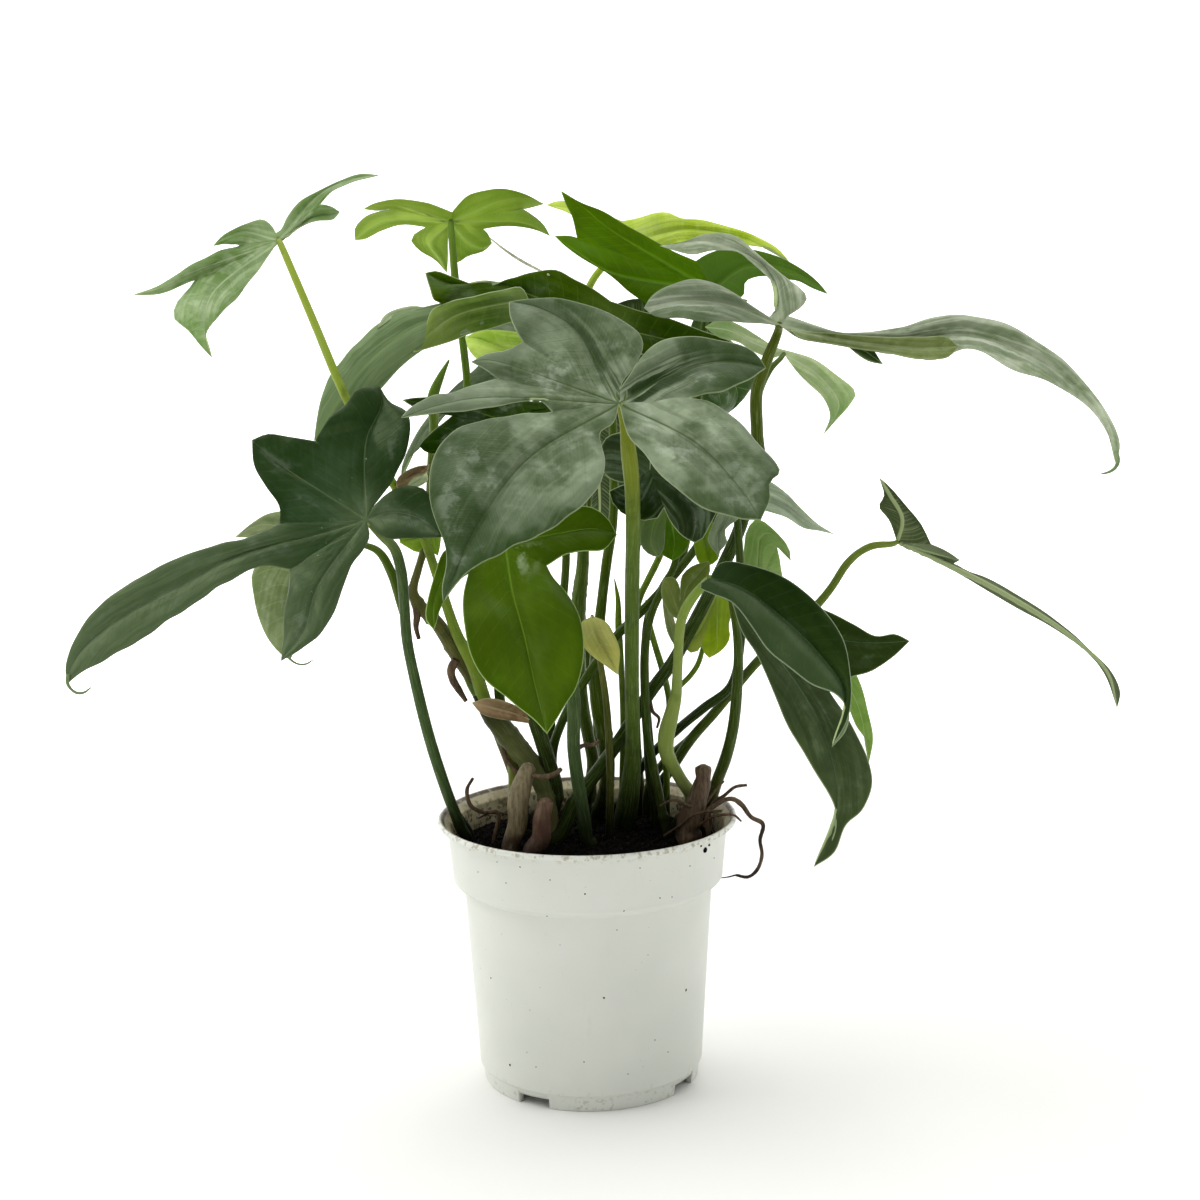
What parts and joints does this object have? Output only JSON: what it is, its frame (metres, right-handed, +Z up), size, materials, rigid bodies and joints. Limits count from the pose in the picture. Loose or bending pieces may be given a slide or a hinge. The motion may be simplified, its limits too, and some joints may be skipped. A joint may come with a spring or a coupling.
{
  "type": "potted oakleaf philodendron",
  "caption": "House plant with deep-lobed, drooping leaves on long round stalks, growing from dark soil in a tapered white pot with a banded rim.",
  "frame": {"origin": "on the surface the pot stands on, under the middle of the whole plant's extent", "axes": "+X to the right and +Z up, as seen from in front looking along +Y"},
  "size_m": [0.411, 0.2956, 0.364],
  "materials": {
    "pot_plastic": "off-white satin plastic, a little dirty",
    "potting_soil": "dark moist peat mix",
    "green_stalk": "smooth waxy green stalk",
    "dry_stub": "dry tan stem stub",
    "root": "brown wiry root",
    "leaf_dark": "dark green satin leaf",
    "leaf_grey": "grey-green waxy leaf",
    "leaf_deep": "deep green glossy leaf",
    "leaf_lime": "young yellow-green leaf",
    "leaf_pale": "pale green leaf underside"
  },
  "bodies": {
    "root": {"pot": "pot_plastic", "soil": "potting_soil", "petiole_01": "green_stalk", "petiole_02": "green_stalk", "petiole_03": "green_stalk", "petiole_04": "green_stalk", "petiole_05": "green_stalk", "petiole_06": "green_stalk", "petiole_07": "green_stalk", "petiole_08": "green_stalk", "petiole_09": "green_stalk", "petiole_10": "green_stalk", "petiole_11": "green_stalk", "petiole_12": "green_stalk", "petiole_13": "green_stalk", "petiole_14": "green_stalk", "petiole_15": "green_stalk", "petiole_16": "green_stalk", "petiole_17": "green_stalk", "petiole_18": "green_stalk", "petiole_19": "green_stalk", "petiole_20": "green_stalk", "petiole_21": "green_stalk", "petiole_22": "green_stalk", "petiole_23": "green_stalk", "petiole_24": "green_stalk", "petiole_25": "green_stalk", "shoot": "green_stalk", "stub_left": "dry_stub", "stub_middle": "dry_stub", "stub_right": "dry_stub", "root_left": "root", "root_hanging": "root", "root_right": "root", "blade_01": "leaf_pale", "blade_02": "leaf_lime", "blade_03": "leaf_dark", "blade_04": "leaf_grey", "blade_05": "leaf_grey", "blade_06": "leaf_deep", "blade_07": "leaf_lime", "blade_08": "leaf_pale", "blade_09": "leaf_dark", "blade_10": "leaf_pale", "blade_11": "leaf_deep", "blade_12": "leaf_dark", "blade_13": "leaf_dark", "blade_14": "leaf_pale", "blade_15": "leaf_dark", "blade_16": "leaf_grey", "blade_17": "leaf_deep", "blade_18": "leaf_lime", "blade_19": "leaf_lime", "blade_20": "leaf_lime", "blade_21": "leaf_deep", "blade_22": "leaf_deep", "blade_23": "leaf_grey", "blade_24": "leaf_dark", "blade_25": "leaf_lime", "blade_26": "leaf_lime"}
  },
  "joints": []
}
